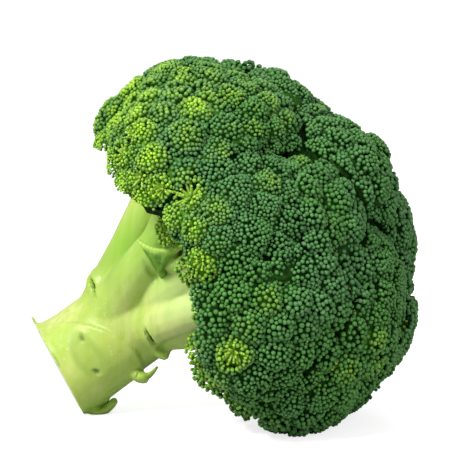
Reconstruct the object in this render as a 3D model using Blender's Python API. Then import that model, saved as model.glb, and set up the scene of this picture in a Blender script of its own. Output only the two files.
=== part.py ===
"""A head of broccoli, cut from its plant and lying on its side.

One stalk divides into branches, and each branch carries a floret. The head is drawn upright
in its own frame, with +Z along the crown's axis and the origin on that axis near the cut end,
and is then laid down on three points: two outer florets and the rim of the stalk's cut end.
"""

import math

import bmesh
import bpy
from mathutils import Matrix, Vector
from mathutils.bvhtree import BVHTree

MM = 0.001

# Driving dimensions of the head, upright.
CROWN_RADIUS = 79.0 * MM
CROWN_RISE = 51.0 * MM
RIM_HEIGHT = 91.0 * MM
LOBE_DEPTH = 24.0 * MM
LOBE_WIDTH = 36.0 * MM
PIECE_GAP = 0.6 * MM

# The stalk's middle line bows towards azimuth 90, and the knife went through it askew.
STALK_FOOT = Vector((-2.0, 17.0, 1.0)) * MM
STALK_BEND = Vector((0.0, 3.0, 60.0)) * MM
STALK_TOP = Vector((0.0, 0.0, 96.0)) * MM
STALK_RADII = (
    (0.0, 19.6), (0.08, 18.6), (0.3, 18.4), (0.45, 17.0), (0.6, 13.5), (0.8, 9.5), (1.0, 7.5)
)
STALK_SIDES = 28
CUT_NORMAL = Vector((0.09, 0.49, -0.87))

# Outer florets: azimuth, the angle that the floret faces from the axis, its size, how far it
# stands proud of the dome in mm, the height in mm at which its branch leaves the stalk, and
# the branch's radius in mm where it leaves.
OUTER_FLORETS = (
    (8.0, 64.0, 0.98, -4.5, 30.0, 10.5),
    (47.0, 50.0, 0.90, -0.5, 34.0, 9.5),
    (83.0, 38.0, 0.84, -1.0, 52.0, 8.0),
    (119.0, 55.0, 0.96, 0.5, 44.0, 9.0),
    (155.0, 64.0, 0.96, 2.0, 48.0, 9.0),
    (193.0, 62.0, 0.96, 0.0, 50.0, 9.0),
    (231.0, 59.0, 0.94, -1.0, 49.0, 9.0),
    (273.0, 59.0, 0.98, 0.0, 44.0, 9.0),
    (318.0, 60.0, 1.00, 0.0, 38.0, 9.0),
)
OUTER_TIP_RADIUS = 7.2 * MM
OUTER_BRANCH_LEAN = 40.0

# Inner florets, the same way. They stand between the outer ones and the one on the stalk's top.
INNER_FLORETS = (
    (20.0, 28.0, 0.88, -1.0, 65.0, 6.0),
    (108.0, 17.0, 0.84, -1.0, 71.0, 5.4),
    (172.0, 27.0, 0.88, -1.0, 67.0, 6.0),
    (240.0, 28.0, 0.88, 3.0, 71.0, 6.0),
    (312.0, 28.0, 0.88, 1.5, 69.0, 6.0),
)
INNER_TIP_RADIUS = 5.2 * MM
INNER_BRANCH_LEAN = 24.0
TIP_BELOW_LOBE = 24.0 * MM
TOP_FLORET = (275.0, 7.0, 0.90, 4.0)

# Stubs of the leaf stems that were cut off: azimuth, height on the stalk, how far they stand
# out, half their width, and how far the tip leans up the stalk (all lengths in mm).
LEAF_STUBS = (
    (355.0, 7.0, 4.0, 7.0, -4.0),
    (355.0, 27.0, 5.0, 6.5, 8.0),
    (146.0, 5.5, 4.5, 5.5, -4.0),
    (150.0, 31.0, 7.0, 4.5, 7.0),
    (215.0, 20.0, 5.0, 6.5, 6.0),
    (268.0, 10.0, 5.5, 7.0, 7.0),
)

# The little leaf in the fork between two branches: azimuth, height, distance from the axis and
# half sizes in mm.
BRACT = (67.0, 66.0, 36.0, 6.0, 4.0, 1.4)

# The way that is roughly up when the head lies down, and the heading of the crown's axis.
ROUGHLY_UP = Vector((0.849, -0.180, 0.496))
HEADING = math.radians(-20.0)
PRESSED_FLAT = 0.7 * MM

# Colour and roughness of the stems, the buds and the leaf.
STEM = ((0.52, 0.66, 0.22), 0.42)
BUDS = ((0.045, 0.14, 0.035), 0.55)
LEAF = ((0.10, 0.22, 0.02), 0.5)


def around(azimuth):
    """The unit vector square to the crown's axis at this azimuth in degrees."""
    angle = math.radians(azimuth)
    return Vector((math.cos(angle), math.sin(angle), 0.0))


def leaning(azimuth, angle):
    """The unit vector at this angle in degrees from the crown's axis."""
    lean = math.radians(angle)
    return around(azimuth) * math.sin(lean) + Vector((0.0, 0.0, math.cos(lean)))


def curve_point(start, bend, end, t):
    """A point on the quadratic curve from start to end that is drawn towards bend."""
    return start.lerp(bend, t).lerp(bend.lerp(end, t), t)


def stalk_centre(height):
    """The middle of the stalk at this height."""
    low, high = 0.0, 1.0
    for _ in range(30):
        middle = (low + high) / 2
        if curve_point(STALK_FOOT, STALK_BEND, STALK_TOP, middle).z < height:
            low = middle
        else:
            high = middle
    return curve_point(STALK_FOOT, STALK_BEND, STALK_TOP, low), low


def stalk_radius(t):
    """The stalk's radius at this share of its length, read smoothly from STALK_RADII."""
    for (t0, r0), (t1, r1) in zip(STALK_RADII, STALK_RADII[1:]):
        if t <= t1:
            share = (t - t0) / (t1 - t0)
            return (r0 + (r1 - r0) * share * share * (3 - 2 * share)) * MM
    return STALK_RADII[-1][1] * MM


def lobe_frame(azimuth, facing, size, proud):
    """The centre of a floret's dome and the direction that it faces."""
    face = leaning(azimuth, facing)
    flat = math.atan(math.tan(math.radians(facing)) * CROWN_RADIUS / CROWN_RISE)
    top = around(azimuth) * CROWN_RADIUS * math.sin(flat)
    top.z = RIM_HEIGHT + CROWN_RISE * math.cos(flat)
    return top + face * (proud * MM - LOBE_DEPTH * size), face


def branch_line(row):
    """The middle line of a branch, which leaves the stalk steeply and arches out, and its radii."""
    middle, share = stalk_centre(row["leaves_at"])
    root = middle + around(row["azimuth"]) * stalk_radius(share) * 0.45
    bend = root + leaning(row["azimuth"], 14.0) * (row["tip"] - root).length * 0.45
    points = [curve_point(root, bend, row["tip"], i / 6) for i in range(7)]
    swell = row["root_radius"] - row["tip_radius"]
    return points, [row["root_radius"] - swell * i / 6 for i in range(7)]


def plan():
    """Each floret and its branch: names, places, directions and radii."""
    found = []
    rings = (
        ("outer", OUTER_FLORETS, OUTER_TIP_RADIUS, OUTER_BRANCH_LEAN),
        ("inner", INNER_FLORETS, INNER_TIP_RADIUS, INNER_BRANCH_LEAN),
    )
    for ring, rows, tip_radius, lean in rings:
        for number, (azimuth, facing, size, proud, leaves_at, root_radius) in enumerate(rows, 1):
            centre, face = lobe_frame(azimuth, facing, size, proud)
            found.append(
                {
                    "floret": f"{ring}_floret_{number}",
                    "branch": f"{ring}_branch_{number}",
                    "ring": ring,
                    "azimuth": azimuth,
                    "centre": centre,
                    "face": face,
                    "size": size,
                    "along": leaning(azimuth, lean),
                    "tip": centre - leaning(azimuth, lean) * TIP_BELOW_LOBE * size,
                    "tip_radius": tip_radius * size,
                    "root_radius": root_radius * MM,
                    "leaves_at": leaves_at * MM,
                }
            )
            found[-1]["points"], found[-1]["radii"] = branch_line(found[-1])
    centre, face = lobe_frame(*TOP_FLORET)
    found.append(
        {
            "floret": "top_floret",
            "branch": None,
            "ring": "top",
            "azimuth": TOP_FLORET[0],
            "centre": centre,
            "face": face,
            "size": TOP_FLORET[2],
            "along": Vector((0.0, 0.0, 1.0)),
            "tip": STALK_TOP + Vector((0.0, 0.0, 2 * PIECE_GAP)),
            "tip_radius": STALK_RADII[-1][1] * MM,
        }
    )
    return found


def material(name, colour, roughness):
    made = bpy.data.materials.new(name)
    made.use_nodes = True
    shader = made.node_tree.nodes["Principled BSDF"]
    shader.inputs["Base Color"].default_value = (*colour, 1.0)
    shader.inputs["Roughness"].default_value = roughness
    shader.inputs["Metallic"].default_value = 0.0
    return made


def add_piece(name, shape, finish, pose):
    """Makes one object of a finished bmesh, with its origin in its middle, carried by the pose."""
    bmesh.ops.triangulate(shape, faces=shape.faces[:])
    bmesh.ops.recalc_face_normals(shape, faces=shape.faces[:])
    middle = sum((v.co for v in shape.verts), Vector()) / len(shape.verts)
    bmesh.ops.translate(shape, vec=-middle, verts=shape.verts[:])
    mesh = bpy.data.meshes.new(name)
    shape.to_mesh(mesh)
    shape.free()
    mesh.materials.append(material(name, *finish))
    mesh.shade_smooth()
    mesh.set_sharp_from_angle(angle=math.radians(40))
    piece = bpy.data.objects.new(name, mesh)
    PARTS.objects.link(piece)
    piece.parent = pose
    piece.location = middle


def cut(shape, point, normal):
    """Cuts a closed convex bmesh by a plane, drops what lies on the normal's side and closes it."""
    everything = shape.verts[:] + shape.edges[:] + shape.faces[:]
    found = bmesh.ops.bisect_plane(
        shape,
        geom=everything,
        dist=1e-7,
        plane_co=point,
        plane_no=normal,
        clear_outer=True,
    )
    edges = [e for e in found["geom_cut"] if isinstance(e, bmesh.types.BMEdge)]
    rim = [e for e in edges if e.is_boundary]
    if rim:
        bmesh.ops.edgeloop_fill(shape, edges=rim)


def tube(points, radii, sides):
    """A closed tube of round sections that are square to the line through the points."""
    shape = bmesh.new()
    rings = []
    for i, (point, radius) in enumerate(zip(points, radii)):
        ahead = points[min(i + 1, len(points) - 1)] - points[max(i - 1, 0)]
        place = Matrix.Translation(point) @ ahead.to_track_quat("Z", "Y").to_matrix().to_4x4()
        made = bmesh.ops.create_circle(shape, segments=sides, radius=radius, matrix=place)
        rings.append(made["verts"])
    for below, above in zip(rings, rings[1:]):
        loops = [e for ring in (below, above) for e in ring_edges(ring)]
        bmesh.ops.bridge_loops(shape, edges=loops)
    bmesh.ops.holes_fill(shape, edges=[e for e in shape.edges if e.is_boundary])
    return shape


def ring_edges(ring):
    """The edges that run between the vertices of one ring."""
    members = set(ring)
    return {e for v in ring for e in v.link_edges if e.other_vert(v) in members}


def wrap(shape):
    """Replaces a bmesh by the convex solid that wraps its vertices."""
    bmesh.ops.delete(shape, geom=shape.edges[:], context="EDGES_FACES")
    hull = bmesh.ops.convex_hull(shape, input=shape.verts[:])
    left = set(hull["geom_interior"] + hull["geom_unused"])
    inside = [v for v in left if isinstance(v, bmesh.types.BMVert)]
    bmesh.ops.delete(shape, geom=inside, context="VERTS")


def make_main_stalk():
    """The stalk, from the knife cut at its foot to the floret on its top."""
    steps = 13
    shares = [i / steps for i in range(steps + 1)]
    points = [curve_point(STALK_FOOT, STALK_BEND, STALK_TOP, t) for t in shares]
    first = (points[1] - points[0]).normalized()
    points.insert(0, points[0] - first * 12 * MM)
    shares.insert(0, 0.0)
    shape = tube(points, [stalk_radius(t) for t in shares], STALK_SIDES)
    cut(shape, STALK_FOOT, CUT_NORMAL)
    return shape


def make_branch(row, rows):
    """A branch: a tapered tube that leaves the stalk's side and ends at its floret."""
    outwards = around(row["azimuth"])
    middle, share = stalk_centre(row["leaves_at"])
    shape = tube(row["points"], row["radii"], 16)
    # The side next to the stalk is cut off by a plane that follows the stalk's slope and clears it.
    upper, upper_share = stalk_centre(row["leaves_at"] + 24 * MM)
    slope = upper - middle + outwards * (stalk_radius(upper_share) - stalk_radius(share))
    away = slope.cross(outwards.cross(slope)).normalized()
    away = away if away.dot(outwards) > 0 else -away
    heights = [row["leaves_at"] + step * 4 * MM for step in range(-5, 11)]
    clear = max(c.dot(away) + stalk_radius(t) * 1.03 for c, t in (stalk_centre(h) for h in heights))
    cut(shape, away * (clear + PIECE_GAP), -away)
    # Branches that leave side by side, or that pass close by, are parted by a plane between them.
    for other in rows:
        if other is row or not other["branch"]:
            continue
        turn = (other["azimuth"] - row["azimuth"] + 180) % 360 - 180
        if other["ring"] == row["ring"] and abs(turn) < 80:
            between = around(row["azimuth"] + turn / 2)
            apart = Vector((0.0, 0.0, 1.0)).cross(between) * (1 if turn > 0 else -1)
            start = middle.lerp(stalk_centre(other["leaves_at"])[0], 0.5)
            cut(shape, start - apart * PIECE_GAP / 2, apart)
            continue
        pairs = [
            (b - a, a, ra / (ra + rb), ra + rb)
            for a, ra in zip(row["points"], row["radii"])
            for b, rb in zip(other["points"], other["radii"])
        ]
        step, here, part, room = min(pairs, key=lambda pair: pair[0].length - pair[3])
        if step.length < room + PIECE_GAP * 2:
            cut(shape, here + step * part - step.normalized() * PIECE_GAP / 2, step.normalized())
    # The branch stops just short of its floret.
    cut(shape, row["tip"] - row["along"] * PIECE_GAP, row["along"])
    return shape


def free_distance(tree, point):
    """How far outside a solid this point is, and less than nothing inside it."""
    spot, normal, _, distance = tree.find_nearest(point)
    return distance if (point - spot).dot(normal) > 0 else -distance


def make_floret(row, rows):
    """A floret: a shallow dome of buds that narrows to the tip of its branch."""
    shape = bmesh.new()
    bmesh.ops.create_uvsphere(shape, u_segments=24, v_segments=14, radius=1.0)
    wide = LOBE_WIDTH * row["size"]
    deep = LOBE_DEPTH * row["size"]
    turn = row["face"].to_track_quat("Z", "Y").to_matrix().to_4x4()
    place = Matrix.Translation(row["centre"]) @ turn @ Matrix.Diagonal((wide, wide, deep, 1.0))
    below = [v for v in shape.verts if v.co.z < -0.15]
    bmesh.ops.delete(shape, geom=below, context="VERTS")
    bmesh.ops.transform(shape, matrix=place, verts=shape.verts[:])
    lean = row["along"].to_track_quat("Z", "Y").to_matrix().to_4x4()
    at_tip = Matrix.Translation(row["tip"]) @ lean
    bmesh.ops.create_circle(shape, segments=16, radius=row["tip_radius"], matrix=at_tip)
    wrap(shape)
    for other in rows:
        step = other["centre"] - row["centre"]
        if other is row or step.length > LOBE_WIDTH * 2.2:
            continue
        share = row["size"] / (row["size"] + other["size"])
        apart = step.normalized()
        cut(shape, row["centre"] + step * share - apart * PIECE_GAP / 2, apart)
    # It is pared away where another floret's branch passes close by.
    for other in rows:
        if other is row or not other["branch"]:
            continue
        for _ in range(2):
            tree = BVHTree.FromBMesh(shape)
            passing = zip(other["points"], other["radii"])
            room, spot, radius = min(
                ((free_distance(tree, p) - r, p, r) for p, r in passing), key=lambda found: found[0]
            )
            if room < PIECE_GAP:
                apart = (spot - row["centre"]).normalized()
                cut(shape, spot - apart * (radius + PIECE_GAP), apart)
    return shape


def make_leaf_stub(azimuth, height, out, half_width, lean):
    """The stub of a cut leaf stem: a wedge that is broad on the stalk and narrow at its tip."""
    outwards = around(azimuth)
    middle, share = stalk_centre(height * MM)
    upper, upper_share = stalk_centre((height + 6) * MM)
    slope = upper - middle + outwards * (stalk_radius(upper_share) - stalk_radius(share))
    up = slope.normalized()
    away = up.cross(outwards.cross(up)).normalized()
    foot = middle + away * (stalk_radius(share) * 1.01 + PIECE_GAP / 2)
    shape = bmesh.new()
    axes = Matrix((up.cross(away), up, away)).transposed().to_4x4()
    flatten = Matrix.Diagonal((1.0, 0.8, 1.0, 1.0))
    tip = foot + away * out * MM + up * lean * MM
    for radius, spot in ((half_width, foot), (half_width * 0.4, tip)):
        place = Matrix.Translation(spot) @ axes @ flatten
        bmesh.ops.create_circle(shape, segments=12, radius=radius * MM, matrix=place)
    wrap(shape)
    return shape


def make_bract_leaf():
    """The small leaf in the fork, a thin oval that lies along the stalk."""
    azimuth, height, out, tall, wide, thick = BRACT
    centre = around(azimuth) * out * MM + Vector((0.0, 0.0, height * MM))
    axis = leaning(azimuth, 30.0)
    side = Vector((0.0, 0.0, 1.0)).cross(axis).normalized()
    turn = Matrix((side, axis.cross(side), axis)).transposed().to_4x4()
    shape = bmesh.new()
    bmesh.ops.create_uvsphere(shape, u_segments=16, v_segments=10, radius=1.0)
    size = Matrix.Diagonal((wide * MM, thick * MM, tall * MM, 1.0))
    bmesh.ops.transform(shape, matrix=size, verts=shape.verts[:])
    bmesh.ops.transform(shape, matrix=Matrix.Translation(centre) @ turn, verts=shape.verts[:])
    return shape


def resting_way_up(shapes):
    """The way up in which the head lies still on three points, nearest to ROUGHLY_UP."""
    weight = 0.0
    balance = Vector()
    wrapped = bmesh.new()
    for shape in shapes:
        volume = shape.calc_volume()
        balance += sum((v.co for v in shape.verts), Vector()) / len(shape.verts) * volume
        weight += volume
        for v in shape.verts:
            wrapped.verts.new(v.co)
    balance /= weight
    hull = bmesh.ops.convex_hull(wrapped, input=wrapped.verts[:])
    best = None
    for face in (g for g in hull["geom"] if isinstance(g, bmesh.types.BMFace)):
        corners = [v.co for v in face.verts]
        normal = (corners[1] - corners[0]).cross(corners[2] - corners[0]).normalized()
        if normal.dot(corners[0] - balance) < 0:
            normal = -normal
        sides = [
            (b - a).cross(balance - a).dot(normal)
            for a, b in zip(corners, corners[1:] + corners[:1])
        ]
        stands = all(side > 0 for side in sides) or all(side < 0 for side in sides)
        if stands and (best is None or normal.dot(ROUGHLY_UP) < best.dot(ROUGHLY_UP)):
            best = normal
    wrapped.free()
    return -best


def lying_pose(up):
    """The turn that brings this direction of the upright head up and the crown to its heading."""
    axis = Vector((0.0, 0.0, 1.0))
    level = (axis - up * axis.dot(up)).normalized()
    upright = Matrix((level, up.cross(level), up)).to_4x4()
    return Matrix.Rotation(HEADING, 4, "Z") @ upright


for old in list(bpy.data.objects):
    bpy.data.objects.remove(old)
PARTS = bpy.data.collections.new("broccoli_head")
bpy.context.scene.collection.children.link(PARTS)

rows = plan()
shapes = {"main_stalk": (make_main_stalk(), STEM)}
for row in rows:
    if row["branch"]:
        shapes[row["branch"]] = (make_branch(row, rows), STEM)
for row in rows:
    shapes[row["floret"]] = (make_floret(row, rows), BUDS)
for number, stub in enumerate(LEAF_STUBS, 1):
    shapes[f"leaf_stub_{number}"] = (make_leaf_stub(*stub), STEM)
shapes["bract_leaf"] = (make_bract_leaf(), LEAF)

# The head's three resting points are pressed flat, and the pose lays it down on them.
up = resting_way_up([shape for shape, _ in shapes.values()])
floor = min(v.co.dot(up) for shape, _ in shapes.values() for v in shape.verts) + PRESSED_FLAT
for shape, _ in shapes.values():
    cut(shape, up * floor, -up)
turn = lying_pose(up)
spots = [turn @ v.co for shape, _ in shapes.values() for v in shape.verts]
middle = [(min(c[k] for c in spots) + max(c[k] for c in spots)) / 2 for k in range(2)]
pose = bpy.data.objects.new("lying_pose", None)
PARTS.objects.link(pose)
pose.matrix_world = Matrix.Translation((-middle[0], -middle[1], -floor)) @ turn
for name, (shape, finish) in shapes.items():
    add_piece(name, shape, finish, pose)
bpy.context.view_layer.update()
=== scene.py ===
"""The looks of a head of broccoli that lies on its side, round the frame that CAD gives it."""

import math
import random

import bmesh
import bpy
import numpy as np
from mathutils import Matrix, Vector, noise
from mathutils.bvhtree import BVHTree
from mathutils.kdtree import KDTree


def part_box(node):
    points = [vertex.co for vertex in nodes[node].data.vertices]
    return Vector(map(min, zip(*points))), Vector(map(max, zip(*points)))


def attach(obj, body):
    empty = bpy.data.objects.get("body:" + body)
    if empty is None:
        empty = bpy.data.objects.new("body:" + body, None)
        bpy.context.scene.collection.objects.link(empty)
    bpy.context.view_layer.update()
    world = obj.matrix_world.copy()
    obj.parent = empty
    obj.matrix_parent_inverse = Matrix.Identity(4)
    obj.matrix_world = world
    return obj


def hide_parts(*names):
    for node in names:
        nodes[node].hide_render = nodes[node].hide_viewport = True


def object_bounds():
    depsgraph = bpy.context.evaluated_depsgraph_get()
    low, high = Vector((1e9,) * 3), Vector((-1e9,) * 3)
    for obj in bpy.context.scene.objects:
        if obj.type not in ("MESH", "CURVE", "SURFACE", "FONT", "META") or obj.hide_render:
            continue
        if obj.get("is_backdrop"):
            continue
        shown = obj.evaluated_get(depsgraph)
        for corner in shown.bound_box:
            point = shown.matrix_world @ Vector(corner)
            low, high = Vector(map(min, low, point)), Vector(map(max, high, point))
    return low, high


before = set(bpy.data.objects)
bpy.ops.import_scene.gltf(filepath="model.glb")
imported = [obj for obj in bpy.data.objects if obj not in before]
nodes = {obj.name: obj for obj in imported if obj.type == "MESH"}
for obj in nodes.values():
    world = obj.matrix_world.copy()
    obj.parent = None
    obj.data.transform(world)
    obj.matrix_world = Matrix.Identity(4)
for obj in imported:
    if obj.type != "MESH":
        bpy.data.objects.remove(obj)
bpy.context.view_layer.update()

# ---------------------------------------------------------------------------------------------
# The stalk and its branches. One smooth, pale, slightly waxy green stem: the stalk flares at the
# knife cut, forks into the branches with soft creases between them, and keeps the hooked stubs
# and the scars of the leaves that were trimmed off it.

MM = 0.001
BRANCHES = [name for name in sorted(nodes) if "_branch_" in name]
STUBS = [name for name in sorted(nodes) if name.startswith("leaf_stub")]


def node_points(name):
    """A CAD node's vertices as an array, in metres."""
    mesh = nodes[name].data
    found = np.empty(len(mesh.vertices) * 3)
    mesh.vertices.foreach_get("co", found)
    return found.reshape(-1, 3)


def node_copy(name, swell=0.0):
    """A bmesh of a CAD node with its seams merged, swollen along its normals."""
    shape = bmesh.new()
    shape.from_mesh(nodes[name].data)
    bmesh.ops.remove_doubles(shape, verts=shape.verts[:], dist=1e-6)
    bmesh.ops.recalc_face_normals(shape, faces=shape.faces[:])
    shape.normal_update()
    moved = [(v, v.co + v.normal * swell) for v in shape.verts]
    for v, place in moved:
        v.co = place
    return shape


def centre(name):
    """The middle of a CAD node's box."""
    low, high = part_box(name)
    return (Vector(low) + Vector(high)) / 2


def new_piece(name, mesh, material):
    """An object of the mesh that rides on the head, with its material."""
    piece = bpy.data.objects.new(name, mesh)
    bpy.context.scene.collection.objects.link(piece)
    mesh.materials.append(material)
    mesh.shade_smooth()
    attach(piece, "root")
    return piece


def taper(points, radii, sides=8, thin=1.0, wide=Vector((0.0, 0.0, 1.0))):
    """A closed tapering tube along the points, thinned by a factor square to the wide direction."""
    shape = bmesh.new()
    rings = []
    for i, (point, radius) in enumerate(zip(points, radii)):
        ahead = (points[min(i + 1, len(points) - 1)] - points[max(i - 1, 0)]).normalized()
        side = ahead.cross(wide).normalized()
        axes = Matrix((side, ahead.cross(side), ahead)).transposed().to_4x4()
        place = Matrix.Translation(point) @ axes @ Matrix.Diagonal((thin, 1.0, 1.0, 1.0))
        made = bmesh.ops.create_circle(shape, segments=sides, radius=radius, matrix=place)
        rings.append(made["verts"])
    for below, above in zip(rings, rings[1:]):
        for k in range(sides):
            n = (k + 1) % sides
            shape.faces.new((below[k], below[n], above[n], above[k]))
    shape.faces.new(rings[0])
    shape.faces.new(rings[-1])
    bmesh.ops.triangulate(shape, faces=shape.faces[:])
    bmesh.ops.recalc_face_normals(shape, faces=shape.faces[:])
    return shape


def curve(start, bend, end, steps):
    """Points on the curve from start to end that is drawn towards bend."""
    shares = [i / steps for i in range(steps + 1)]
    return [start.lerp(bend, t).lerp(bend.lerp(end, t), t) for t in shares]


def gather(shapes):
    """One mesh of several bmeshes, which are freed."""
    whole = bpy.data.meshes.new("gathered")
    all_of = bmesh.new()
    for shape in shapes:
        shape.to_mesh(whole)
        all_of.from_mesh(whole)
        shape.free()
    all_of.to_mesh(whole)
    all_of.free()
    return whole


def fused(mesh, voxel, rounds, name):
    """The mesh with its overlapping solids grown into one skin and smoothed."""
    carrier = bpy.data.objects.new(name, mesh)
    bpy.context.scene.collection.objects.link(carrier)
    grow = carrier.modifiers.new("grow", "REMESH")
    grow.mode = "VOXEL"
    grow.voxel_size = voxel
    soften = carrier.modifiers.new("soften", "SMOOTH")
    soften.factor = 0.5
    soften.iterations = rounds
    ready = carrier.evaluated_get(bpy.context.evaluated_depsgraph_get())
    skin = bpy.data.meshes.new_from_object(ready)
    bpy.data.objects.remove(carrier)
    return skin


class Value:
    """A shader socket that sums and products are written on."""

    def __init__(self, paint, socket):
        self.paint, self.socket = paint, socket

    def math(self, operation, *terms, **settings):
        chosen = {"operation": operation, **settings}
        return self.paint.node("ShaderNodeMath", chosen, dict(enumerate(terms)))["Value"]

    def __add__(self, other):
        return self.math("ADD", self, other)

    def __sub__(self, other):
        return self.math("SUBTRACT", self, other)

    def __rsub__(self, other):
        return self.math("SUBTRACT", other, self)

    def __mul__(self, other):
        return self.math("MULTIPLY", self, other)

    __radd__, __rmul__ = __add__, __mul__


class Paint:
    """A material whose nodes are added one method call at a time."""

    def __init__(self, name, **settings):
        self.material = bpy.data.materials.new(name)
        self.material.use_nodes = True
        self.tree = self.material.node_tree
        self.shader = self.tree.nodes["Principled BSDF"]
        for socket, value in settings.items():
            self.shader.inputs[socket.replace("_", " ")].default_value = value

    def feed(self, socket, value):
        if isinstance(value, Value):
            self.tree.links.new(value.socket, socket)
        elif isinstance(value, (tuple, list)) and len(value) == 3 and socket.type == "RGBA":
            socket.default_value = (*value, 1.0)
        else:
            socket.default_value = value

    def node(self, kind, settings, sockets):
        made = self.tree.nodes.new(kind)
        for key, value in settings.items():
            if key == "stops":
                ramp = made.color_ramp.elements
                while len(ramp) < len(value):
                    ramp.new(0.5)
                for stop, (place, colour) in zip(ramp, value):
                    stop.position, stop.color = place, (*colour, 1.0)
            else:
                setattr(made, key, value)
        for key, value in sockets.items():
            self.feed(made.inputs[key], value)
        return {o.name: Value(self, o) for o in made.outputs if o.enabled}

    def attribute(self, name):
        return self.node("ShaderNodeAttribute", {"attribute_name": name}, {})["Fac"]

    def place(self):
        return self.node("ShaderNodeTexCoord", {}, {})["Object"]

    def noise(self, where, scale, detail=3.0, roughness=0.5):
        sockets = {"Vector": where, "Scale": scale, "Detail": detail, "Roughness": roughness}
        return self.node("ShaderNodeTexNoise", {}, sockets)["Fac"]

    def span(self, value, low, high, to_low=0.0, to_high=1.0):
        """The value, brought from one range to another and kept inside it."""
        sockets = {
            "Value": value,
            "From Min": low,
            "From Max": high,
            "To Min": to_low,
            "To Max": to_high,
        }
        return self.node("ShaderNodeMapRange", {"clamp": True}, sockets)["Result"]

    def mix(self, share, first, second, blend="MIX"):
        settings = {"data_type": "RGBA", "blend_type": blend}
        return self.node("ShaderNodeMix", settings, {0: share, 6: first, 7: second})["Result"]

    def bump(self, height, strength, distance):
        sockets = {"Height": height, "Strength": strength, "Distance": distance}
        return self.node("ShaderNodeBump", {}, sockets)["Normal"]

    def finish(self, **sockets):
        for socket, value in sockets.items():
            self.feed(self.shader.inputs[socket.replace("_", " ")], value)
        return self.material


stalk_points = node_points("main_stalk")
head_top = centre("top_floret")
axis = (head_top - Vector(stalk_points.mean(axis=0))).normalized()
heights = stalk_points @ np.array(axis)
stalk_top = Vector(stalk_points[heights > heights.max() - 3 * MM].mean(axis=0))
cut_normal = Vector()
for face in nodes["main_stalk"].data.polygons:
    if face.normal.dot(axis) < -0.7:
        cut_normal += face.normal * face.area
cut_normal.normalize()
cut_reach = (stalk_points @ np.array(cut_normal)).max()
on_cut = stalk_points[stalk_points @ np.array(cut_normal) > cut_reach - 0.05 * MM]
cut_centre = Vector((on_cut.min(axis=0) + on_cut.max(axis=0)) / 2)
cut_radius = np.linalg.norm(on_cut - np.array(cut_centre), axis=1).mean()
# The knife went through a little askew, so the cut leans to the far side.
cut_normal = (cut_normal + Vector((0, 0.045, 0))).normalized()
stalk_line = (stalk_top - cut_centre).normalized()
near_side = (Vector((0, -1, 0)) + stalk_line * stalk_line.y).normalized()
upper_side = stalk_line.cross(near_side)
upper_side *= math.copysign(1.0, upper_side.z)


def outwards(angle):
    """The direction away from the stalk's middle: 0 is its near side and 90 its upper side."""
    turned = math.radians(angle)
    return near_side * math.cos(turned) + upper_side * math.sin(turned)


def on_stalk(point, back=0.0):
    """The point of the stalk's middle line level with a point, or further back towards the cut."""
    along = (point - cut_centre).dot(stalk_line) - back
    return cut_centre + stalk_line * max(0.0, along)


def ends_of(name):
    """The two ends of a branch: on the stalk, and under its floret."""
    spots = node_points(name)
    far = np.argsort(np.linalg.norm(spots - np.array(cut_centre), axis=1))
    return Vector(spots[far[:10]].mean(axis=0)), Vector(spots[far[-10:]].mean(axis=0))


# The hooks that are left of the trimmed leaves: height above the cut, angle, reach out of the
# stalk, reach along it, width and thickness, in millimetres and degrees.
HOOKS = [
    (0.0, -80, 3.6, 9.5, 6.0, 2.4),
    (24.0, -66, 3.2, 8.5, 5.0, 2.0),
    (36.5, -58, 1.8, 3.6, 5.0, 2.0),
    (-0.5, 92, 4.2, 2.5, 6.0, 2.0),
    (28.0, 100, 2.4, 2.0, 4.0, 1.4),
    (18.0, -122, 3.6, 6.0, 4.5, 1.6),
    (8.0, -168, 3.4, 7.0, 5.0, 1.8),
]
# The stalk's foot is this much longer than the CAD stalk, and the upper branch leaves it along a
# line of its own.
FOOT_LENGTH = 2.0 * MM
stem_parts = [node_copy("main_stalk", 0.35 * MM)]
foot_line = [cut_centre - cut_normal * 9 * MM, cut_centre + cut_normal * (FOOT_LENGTH + 2 * MM)]
foot_wide = [cut_radius * 0.985, cut_radius * 1.01]
stem_parts.append(taper(foot_line, foot_wide, 40))
upper_line = [Vector(c) * MM for c in ((-43, 4, 52), (-35, 1, 66), (-29, -1, 79), (-25, -1, 91))]
stem_parts.append(taper(upper_line, [8.0 * MM, 8.6 * MM, 8.4 * MM, 7.5 * MM], 16))
# Each branch starts deep in the stalk, so that a soft buttress joins the two.
for name in BRANCHES:
    stem_parts.append(node_copy(name, 0.6 * MM))
    root, end = ends_of(name)
    buried = on_stalk(root, 20 * MM).lerp(root, 0.28)
    line = curve(buried, root.lerp(end, 0.12), root.lerp(end, 0.75), 6)
    thick = (9.5 if name.startswith("outer") else 6.0) * MM
    stem_parts.append(taper(line, [thick * (1.05 - 0.06 * i) for i in range(7)], 14))
for height, angle, out, along, wide, thick in HOOKS:
    away = outwards(angle)
    foot = cut_centre + stalk_line * height * MM + away * 17.0 * MM
    bend = foot + away * (out + 2.6) * 1.35 * MM - stalk_line * 0.12 * along * MM
    tip_of = foot + away * (out + 1.2) * MM + stalk_line * along * MM
    line = curve(foot, bend, tip_of, 7)
    radii = [wide * MM * (1.0 - 0.72 * (i / 7) ** 1.3) for i in range(8)]
    stem_parts.append(taper(line, radii, 14, thick / wide, away.cross(stalk_line)))
skin = fused(gather(stem_parts), 0.75 * MM, 9, "stem_skin")

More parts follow.
